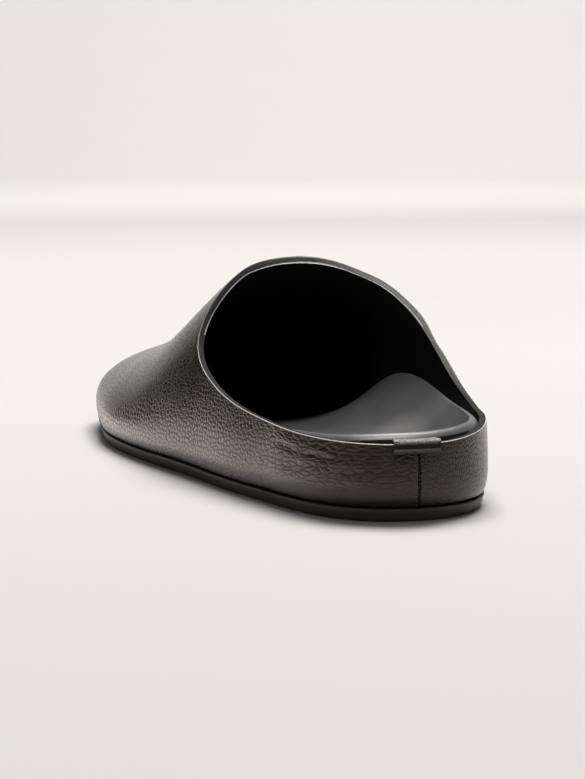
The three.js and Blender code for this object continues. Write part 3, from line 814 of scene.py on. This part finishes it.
def sole_rubber():
    made = material("sole_rubber")
    n = Nodes(made)
    place = n.coordinates()
    grain = n.noise(place, 1400, 3, 0.5).outputs["Fac"]
    patches = n.noise(place, 30, 3).outputs["Fac"]
    _, y, _ = n.split(place)
    color = n.mix_color(patches, (0.0125, 0.0103, 0.0086, 1), (0.0190, 0.0160, 0.0135, 1))
    # Painted light: the sole is lighter towards the back of the heel
    color = n.mix_color(n.span(y, 0.070, -0.025), color, (0.040, 0.034, 0.029, 1))
    n.give("Base Color", color)
    n.give("Normal", n.bump(grain, 0.00008, 0.6))
    n.give("Roughness", n.span(patches, 0.3, 0.7, 0.42, 0.52))
    n.give("Specular Tint", (1.0, 0.92, 0.84, 1))
    return made


# Middle of the painted highlight, a lighter patch on the arch side of the footbed, in the shoe's frame
PAINTED_HIGHLIGHT_PATCH = (0.020, 0.040, 0.022)


def bed_leather():
    made = material("footbed_leather")
    n = Nodes(made)
    place = n.coordinates()
    grain = n.noise(place, 1800, 4, 0.6).outputs["Fac"]
    wave = n.noise(stretched(n, place, (1.5, 1, 0.5)), 60, 3).outputs["Fac"]
    color = n.mix_color(wave, (0.034, 0.034, 0.036, 1), (0.074, 0.073, 0.075, 1))
    # Painted highlight: the footbed is lighter round that point
    away = n.new("ShaderNodeVectorMath", operation="DISTANCE")
    n.link(warped(n, place, 90, 0.004), away.inputs[0])
    away.inputs[1].default_value = PAINTED_HIGHLIGHT_PATCH
    color = n.mix_color(n.span(away.outputs["Value"], 0.018, 0.002, 0, 0.9), color, (0.145, 0.136, 0.132, 1))
    n.give("Base Color", color)
    soft = n.bump(wave, 0.0008, 0.35)
    n.give("Normal", n.bump(grain, 0.00004, 0.6, soft))
    n.give("Roughness", 0.40)
    n.give("Specular IOR Level", 0.55)
    return made


def tab_leather():
    made = material("tab_leather")
    n = Nodes(made)
    place = n.coordinates()
    grain = n.noise(stretched(n, place, (1.4, 1, 0.8)), 1500, 4, 0.7).outputs["Fac"]
    _, _, z = n.split(place)
    sparkle = n.noise(place, 3600, 2, 0.6).outputs["Fac"]
    # Painted highlight: a light, sparkling band across the folded top; low on the front the leather is also
    # faintly lighter with the grain
    top = n.times(n.span(z, 0.0253, 0.0264), n.span(sparkle, 0.44, 0.64))
    front = n.times(n.span(z, 0.0242, 0.0238, 0, 0.16), n.span(grain, 0.2, 0.7))
    wear_and_highlight = n.math("MAXIMUM", top, front)
    color = n.mix_color(grain, (0.001, 0.001, 0.001, 1), (0.003, 0.0028, 0.003, 1))
    n.give("Base Color", n.mix_color(wear_and_highlight, color, (0.40, 0.385, 0.375, 1)))
    n.give("Normal", n.bump(grain, 0.00022, 1.0))
    n.give("Roughness", n.span(grain, 0.3, 0.7, 0.30, 0.50))
    n.give("Specular IOR Level", 0.22)
    return made


def waxed_thread():
    made = material("waxed_thread")
    n = Nodes(made)
    twist = n.noise(n.coordinates(), 2600, 2, 0.5).outputs["Fac"]
    n.give("Base Color", n.mix_color(twist, (0.004, 0.0037, 0.0035, 1), (0.010, 0.0092, 0.0085, 1)))
    n.give("Normal", n.bump(twist, 0.00005, 0.5))
    n.give("Roughness", 0.6)
    n.give("Specular IOR Level", 0.12)
    return made


leather = pebbled_leather()
edge_material = cut_edge()
corner_material = cut_corner()
lining_corner_material = cut_corner("lining_corner", 0.05)
lining = lining_leather()
rubber = sole_rubber()
bed_material = bed_leather()
tab_material = tab_leather()
thread_material = waxed_thread()

upper_skin, edge_ids = build_upper(outer, inner, normals)
upper_materials = [leather, edge_material, lining, corner_material, lining_corner_material]
upper = upper_skin.mesh("upper_leather", upper_materials)
# Sharp at the point of the throat, where the leather's outside meets the cut
throat_edges = ({edge_ids[0], edge_ids[1]}, {edge_ids[0], edge_ids[-2]})
for edge in upper.data.edges:
    if set(edge.vertices) in throat_edges:
        edge.use_edge_sharp = True
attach(upper, "root")
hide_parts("upper")


def at_height(lines, z):
    """Point of each rib line at the given heights."""
    result = np.zeros((len(lines), 3))
    for i, line in enumerate(lines):
        heights = np.maximum.accumulate(line[:, 2])
        result[i, 0] = np.interp(z[i], heights, line[:, 0])
        result[i, 1] = np.interp(z[i], heights, line[:, 1])
        result[i, 2] = z[i]
    return result


# Seam thread: short slanted stitches beside the back seam, half sunk in the leather
STITCH_PITCH = 1.2
STITCH_LENGTH = 1.25
STITCH_RADIUS = 0.30
STITCH_FROM_SEAM = 0.75
STITCH_SLANT = 0.55
STITCH_SIDES = 8
# Free height below the first stitch and above the last one
STITCH_START = 1.6
STITCH_END = 0.9
# Columns on each side of the seam that give the heel's outline
HEEL_REACH = 12
HEEL_OUT = np.array([0.0, -1.0, 0.0])


def stitch(skin, middle, along, out, length, radius):
    """One stitch: a short spindle that lies along a direction and is rounded at its ends."""
    side = np.cross(along, out)
    rings = []
    for t in np.linspace(-1, 1, 7):
        swell = radius * math.sqrt(max(1 - t ** 4, 0.0))
        center = middle + along * (t * length / 2) + out * radius * 0.5 * (1 - t * t)
        if swell < 1e-6:
            tip = skin.add(center[None])[0]
            rings.append([tip] * STITCH_SIDES)
        else:
            turn = (np.arange(STITCH_SIDES) * math.tau / STITCH_SIDES)[:, None]
            around = np.cos(turn) * out + np.sin(turn) * side
            rings.append(list(skin.add(center + swell * around)))
    for low, high in zip(rings, rings[1:]):
        skin.strip(low, high, 0, closed=True)


def point_on_heel(x, z):
    """Point of the outer skin at the heel, from its place across and height."""
    near = np.arange(-HEEL_REACH, HEEL_REACH + 1)
    at = at_height(outer[near], np.full(len(near), z))
    across = at[:, 0] - outer[0, 0, 0]
    order = np.argsort(across)
    y = np.interp(x, across[order], at[order, 1])
    return np.array([x + outer[0, 0, 0], y, z])


def build_seam_thread():
    skin = Skin()
    z = SOLE_THICKNESS + STITCH_START
    turn = 1
    while z < HEEL_HEIGHT - TAB_LEG - STITCH_END:
        middle = point_on_heel(STITCH_FROM_SEAM, z)
        along = unit(np.array([turn * STITCH_SLANT, 0.0, 1.0]))
        stitch(skin, middle, along, HEEL_OUT, STITCH_LENGTH, STITCH_RADIUS)
        z += STITCH_PITCH
        turn = -turn
    return skin.mesh("seam_thread", [thread_material])


# Outsole
def sole_ring(skin, inset, height):
    point = inset_point(ring, inset)
    return skin.add(np.column_stack([point, floor_lift(point[:, 1]) + height]))


def close_ring(skin, ids, up):
    count = len(ids)
    for i in range(count // 2):
        a, b = ids[twin_index(i, count)], ids[i]
        c, d = ids[i + 1], ids[count - i - 1]
        skin.face([a, b, c, d] if up else [d, c, b, a], 0)


# Inset and height of each ring of the sole edge, from the floor up
SOLE_PROFILE = [(2.2, 0.0), (1.55, 0.12), (1.2, 0.5), (0.75, 1.8), (0.32, 3.3), (0.05, 3.95),
                (0.12, 4.3), (0.45, 4.5), (1.6, 4.5)]


def build_outsole():
    skin = Skin()
    rings = [sole_ring(skin, inset, height) for inset, height in SOLE_PROFILE]
    close_ring(skin, rings[0], False)
    for low, high in zip(rings, rings[1:]):
        skin.strip(low, high, 0, closed=True)
    close_ring(skin, rings[-1], True)
    return skin.mesh("outsole_rubber", [rubber])


seam_thread = build_seam_thread()
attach(seam_thread, "root")

outsole = build_outsole()
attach(outsole, "root")
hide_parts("outsole")


# Footbed
def rim_height(turn):
    share = share_at(turn)
    rim = np.where(turn < 0, bed_lateral(share), bed_medial(share))
    return np.maximum(rim * CUP_HEIGHT, BED_THICKNESS)


def bowl_height(share, across):
    seat = BED_THICKNESS + (SEAT_THICKNESS - BED_THICKNESS) * bed_seat(share)
    half = (across + 1) / 2
    slope = bed_lateral_slope(share) * (1 - half) + bed_medial_slope(share) * half
    heel = np.clip(1 - share / BOWL_ENDS[0], 0, 1) ** BOWL_ENDS[2]
    toe = np.clip(1 - (1 - share) / BOWL_ENDS[1], 0, 1) ** BOWL_ENDS[2]
    fill = 1 - (1 - np.abs(across) ** slope) * (1 - heel) * (1 - toe)
    turn = np.arccos(1 - 2 * np.clip(share, 0, 1))
    rim = rim_height(-turn) * (1 - half) + rim_height(turn) * half
    return np.minimum(seat, rim) * (1 - fill) + rim * fill


BED_GAP = 0.25
BED_ACROSS = 72
SIDE_ROWS = 7
CROWN_ROWS = 10
# Hollow behind the heel tab: half width with its soft ends, and share of the length it keeps to
NOTCH_HALF = 30.0
NOTCH_BLEND = 18.0
NOTCH_SHARE = 0.1
# Rows of the rim behind the tab that take the dark lining material as painted shadow in the gap above the
# collar, and how fast they end at the sides
PAINTED_SHADOW_ROWS = 3
PAINTED_SHADOW_BLEND = 8.0
PAINTED_SHADOW_SHARE = 0.15


def build_footbed():
    skin = Skin()
    low = ribs.base + WALL + GAP
    high = ribs.base + rim_height(ribs.turn) - RIM_CROWN
    from_side = NOTCH_HALF - np.abs(outer[:, 0, 0])
    notch = (TAB_THICKNESS + GAP) * smooth(from_side / NOTCH_BLEND)
    notch = np.where(ribs.share < NOTCH_SHARE, notch, 0)[:, None]
    rings = []
    out = flat_normals[:, 0]
    lining_lines = inner[:, FIRST_INNER_ROW:]
    for share in np.linspace(0, 1, SIDE_ROWS):
        edge = at_height(lining_lines, low + (high - low) * share) - out * (BED_GAP + notch)
        rings.append(skin.add(edge))
    for bend in np.linspace(0, 1, CROWN_ROWS + 1)[1:] * np.pi / 2:
        ring_points = edge - out * (1 - np.cos(bend)) * RIM_CROWN
        ring_points[:, 2] += np.sin(bend) * RIM_CROWN
        rings.append(skin.add(ring_points))
    clear = FEATHER_INSET + LASTING_WIDTH + GAP
    under = inset_point(ring, clear)
    under_base = SOLE_THICKNESS + floor_lift(under[:, 1])
    bottom = skin.add(np.column_stack([under, under_base + GAP]))
    step = skin.add(np.column_stack([under, under_base + WALL + 2 * GAP]))
    close_ring(skin, bottom, False)
    lines = [bottom, step] + rings
    # Painted shadow: behind the tab, the rim's side and its lowest crown rows take the dark lining material
    shaded = PAINTED_SHADOW_ROWS * smooth(from_side / PAINTED_SHADOW_BLEND) * (ribs.share < PAINTED_SHADOW_SHARE)
    for k, (lower, upper_line) in enumerate(zip(lines, lines[1:])):
        crown_row = k - len(lines) + CROWN_ROWS + 1
        skin.strip(lower, upper_line, [int(crown_row < s - 0.5) for s in shaded], closed=True)
    rim = rings[-1]
    count = len(rim)
    rows = []
    for i in range(count // 2 + 1):
        a, b = rim[twin_index(i, count)], rim[i]
        across = np.sin((np.arange(1, BED_ACROSS) / BED_ACROSS - 0.5) * np.pi)
        left, right = skin.points[a], skin.points[b]
        line = left + (right - left) * ((across + 1) / 2)[:, None]
        line[:, 2] = ribs.base[i] + bowl_height(np.full(len(across), ribs.share[i]), across)
        middle = [a] * len(across) if a == b else list(skin.add(line))
        rows.append([a] + middle + [b])
    for lower, upper_line in zip(rows, rows[1:]):
        skin.strip(lower, upper_line, 0)
    return skin.mesh("footbed_cover", [bed_material, lining])


footbed = build_footbed()
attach(footbed, "root")
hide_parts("footbed")


# Heel tab: a strip folded over the top edge, with a sewn lower edge
def tab_profile():
    """Distance out of the upper's surface and rise above the top edge, round the folded strip."""
    inside = -WALL - GAP
    thick = TAB_THICKNESS
    lead = [(GAP, -TAB_LEG), (GAP + 0.15, -TAB_LEG - 0.12), (GAP + thick - 0.2, -TAB_LEG - 0.1),
            (GAP + thick, -TAB_LEG + 0.15)]
    lead += [(GAP + thick + proud, -TAB_LEG + up)
             for proud, up in ((0.10, 0.42), (0.05, 0.95), (-0.12, 1.25), (-0.16, 1.7), (-0.10, 2.4))]
    bends = np.linspace(0, math.pi / 2, 6)
    outer_bend = [(GAP + thick * math.cos(a), GAP + thick * math.sin(a)) for a in bends]
    inner_bend = [(inside - thick * math.sin(a), GAP + thick * math.cos(a)) for a in bends]
    tail = [(inside - thick, -TAB_LEG), (inside, -TAB_LEG), (inside, GAP), (GAP, GAP)]
    return lead + outer_bend + inner_bend + tail


TAB_COLUMNS = 33
TAB_REACH = 0.4
# Height of the waves of the sewn lower edge, and turn of the wave for each mm across
TAB_WAVE_HEIGHT = 0.10
TAB_WAVE_TURN = 2.9


def build_tab():
    skin = Skin()
    widths = np.linspace(-TAB_WIDTH / 2, TAB_WIDTH / 2, TAB_COLUMNS)
    profile = tab_profile()
    order = np.argsort(ribs.turn)
    near = order[np.abs(ribs.turn[order]) < TAB_REACH]
    foot_x = outer_form[near, -1, 0]
    turns = np.interp(widths, foot_x, ribs.turn[near])
    own = Ribs(turns)
    top = edge_height(turns)
    out = np.column_stack([own.normal, np.zeros(len(turns))])
    sections = []
    for away, rise in profile:
        z = top + min(rise, 0)
        base = own.points(own.angle_at(z)[:, None])[:, 0]
        lower_edge = rise < -TAB_LEG + 0.1 and away > 0
        wave = TAB_WAVE_HEIGHT * np.sin(widths * TAB_WAVE_TURN) * int(lower_edge)
        points = base + out * away
        points[:, 2] = top + rise + wave
        sections.append(skin.add(points))
    sections = np.array(sections)
    for low, high in zip(sections, np.roll(sections, -1, 0)):
        skin.strip(low, high, 0)
    for column, flip in ((0, True), (-1, False)):
        for cap in close_tab_end(sections[:, column], flip):
            skin.face(cap, 0)
    return skin.mesh("heel_tab_leather", [tab_material])


def close_tab_end(ids, flip):
    """Faces across one end of the strip, pairing the outer line with the inner line."""
    count = len(ids)
    outer_line = list(ids[1:count - 3])
    inner_line = [ids[0], ids[-1], ids[-2], ids[-3]]
    split = len(outer_line) // 2
    faces = [[inner_line[0], inner_line[1]] + outer_line[:split + 1][::-1],
             [inner_line[1], inner_line[2]] + outer_line[split:split + 1],
             [inner_line[2], inner_line[3]] + outer_line[split:][::-1]]
    return [face[::-1] if flip else face for face in faces]


tab = build_tab()
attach(tab, "root")
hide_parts("heel_tab")


# Floor, backdrop, lights, camera
# Middle of the painted shade on the floor paper, which darkens it where the softbox's light pools
SHADED_FLOOR = (0.3, 0.75, 0.0)


def pale(name, color):
    made = material(name)
    n = Nodes(made)
    place = n.coordinates()
    speck = n.noise(place, 3, 2)
    shade = n.mix_color(speck.outputs["Fac"], tuple(c * 0.995 for c in color[:3]) + (1,), color)
    away = n.new("ShaderNodeVectorMath", operation="DISTANCE")
    n.link(place, away.inputs[0])
    away.inputs[1].default_value = SHADED_FLOOR
    # Painted shade: the paper is darker near SHADED_FLOOR
    tone = n.span(away.outputs["Value"], 0.0, 1.2, 0.76, 1.0)
    shade = n.mix_color(1.0, shade, n.gray(tone), "MULTIPLY")
    n.give("Base Color", shade)
    n.give("Roughness", 0.9)
    n.give("Specular IOR Level", 0.1)
    return made


FLOOR_FLAT = 2.6
FLOOR_BEND = 0.8
WALL_TOP = 1.15
FLOOR_SIDES = 72
# Directions, in degrees from +Y towards +X, between which the backdrop shows in the leather
BACKDROP_FROM = -15
BACKDROP_TO = 60


def sweep_object(name, profile, turns, closed, paper):
    """A band of paper turned about the vertical, from a list of radius and height."""
    points = [(r * math.sin(t), r * math.cos(t), z) for r, z in profile for t in turns]
    count = len(turns)
    faces = []
    for k in range(len(profile) - 1):
        for i in range(count if closed else count - 1):
            n = (i + 1) % count
            faces.append((k * count + i, k * count + n, (k + 1) * count + n, (k + 1) * count + i))
    if closed:
        faces.append(tuple(range(count))[::-1])
    data = bpy.data.meshes.new(name)
    data.from_pydata(points, [], faces)
    data.polygons.foreach_set("use_smooth", [True] * len(faces))
    data.materials.append(paper)
    made = bpy.data.objects.new(name, data)
    bpy.context.scene.collection.objects.link(made)
    return made


def build_floor():
    paper = pale("floor_paper", (0.88, 0.862, 0.842, 1))
    step = 360 / FLOOR_SIDES
    around = [math.radians(i * step) for i in range(FLOOR_SIDES)]
    sweep_object("floor", [(0.4, 0.0), (1.2, 0.0), (FLOOR_FLAT, 0.0)], around, True, paper)
    wall = [(FLOOR_FLAT + math.sin(a) * FLOOR_BEND, (1 - math.cos(a)) * FLOOR_BEND)
            for a in np.linspace(0, math.pi / 2, 17)] + [(FLOOR_FLAT + FLOOR_BEND, WALL_TOP)]
    seen = [math.radians(a) for a in np.arange(BACKDROP_FROM, BACKDROP_TO + 1, step)]
    rest = [math.radians(a) for a in np.arange(BACKDROP_TO, BACKDROP_FROM + 361, step)]
    sweep_object("backdrop", wall, seen, False, paper)
    surround = sweep_object("surround", wall, rest, False, paper)
    surround.visible_glossy = False


def area_light(name, place, target, size, power, color=(1, 1, 1), size_y=None):
    light = bpy.data.lights.new(name, "AREA")
    light.shape = "RECTANGLE"
    light.size = size
    light.size_y = size_y or size
    light.energy = power
    light.color = color
    lamp = bpy.data.objects.new(name, light)
    lamp.location = place
    aim = Vector(target) - Vector(place)
    lamp.rotation_euler = aim.to_track_quat("-Z", "Y").to_euler()
    bpy.context.scene.collection.objects.link(lamp)
    return lamp


def light_only(lamp, name, pieces):
    """Keeps a lamp's light to the given pieces."""
    lit = bpy.data.collections.new(name)
    for piece in pieces:
        lit.objects.link(piece)
    lamp.light_linking.receiver_collection = lit


def floor_card(name, place, width, length, power):
    """A card that lies face up on the floor and shows only as a reflection in the leather."""
    card = area_light(name, (*place, 0.002), (*place, 1), width, power, (1, 0.88, 0.75), length)
    card.rotation_euler = (math.pi, 0, 0)
    card.visible_diffuse = False
    card.visible_camera = False


build_floor()
world = bpy.data.worlds.new("studio")
world.use_nodes = True
world.node_tree.nodes["Background"].inputs["Color"].default_value = (0.93, 0.915, 0.895, 1)
world.node_tree.nodes["Background"].inputs["Strength"].default_value = 0.09
world.cycles_visibility.glossy = False
bpy.context.scene.world = world
bpy.context.scene.view_settings.view_transform = "Standard"

area_light("softbox", (0.45, 0.85, 1.9), (0, -0.1, 0), 1.1, 53, (1, 0.99, 0.975))
far_fill = area_light("far_fill", (0.8, 1.8, 1.5), (1.0, 3.4, 1.2), 1.6, 25)
far_fill.visible_glossy = False
key = area_light("key", (-0.10, -0.45, 1.5), (0, 0.05, 0.03), 1.3, 38, (1, 0.99, 0.98), 0.5)
light_only(key, "key_lit", [upper, footbed, tab])
floor_card("low_card", (-0.235, 0.30), 0.35, 0.8, 0.84)
floor_card("low_card_medial", (0.36, 0.34), 0.3, 0.4, 0.42)

AZIMUTH = math.radians(-18.0)
ELEVATION = math.radians(6.68)
DISTANCE = 1.0
TARGET = Vector((0, (145 - HEEL_REST_FROM_BACK) * MM, 30 * MM))
FRAME_LONG_SIDE = 779
FOCAL_PIXELS = 2686.6
SHIFT_PIXELS = (14.63, -9.58)
back = Vector((math.sin(AZIMUTH) * math.cos(ELEVATION), -math.cos(AZIMUTH) * math.cos(ELEVATION),
               math.sin(ELEVATION)))
camera_data = bpy.data.cameras.new("camera")
camera_data.sensor_width = 36.0
camera_data.lens = FOCAL_PIXELS / FRAME_LONG_SIDE * camera_data.sensor_width
camera_data.shift_x = SHIFT_PIXELS[0] / FRAME_LONG_SIDE
camera_data.shift_y = SHIFT_PIXELS[1] / FRAME_LONG_SIDE
camera = bpy.data.objects.new("camera", camera_data)
camera.location = TARGET + back * DISTANCE
camera.rotation_euler = (-back).to_track_quat("-Z", "Y").to_euler()
bpy.context.scene.collection.objects.link(camera)
bpy.context.scene.camera = camera
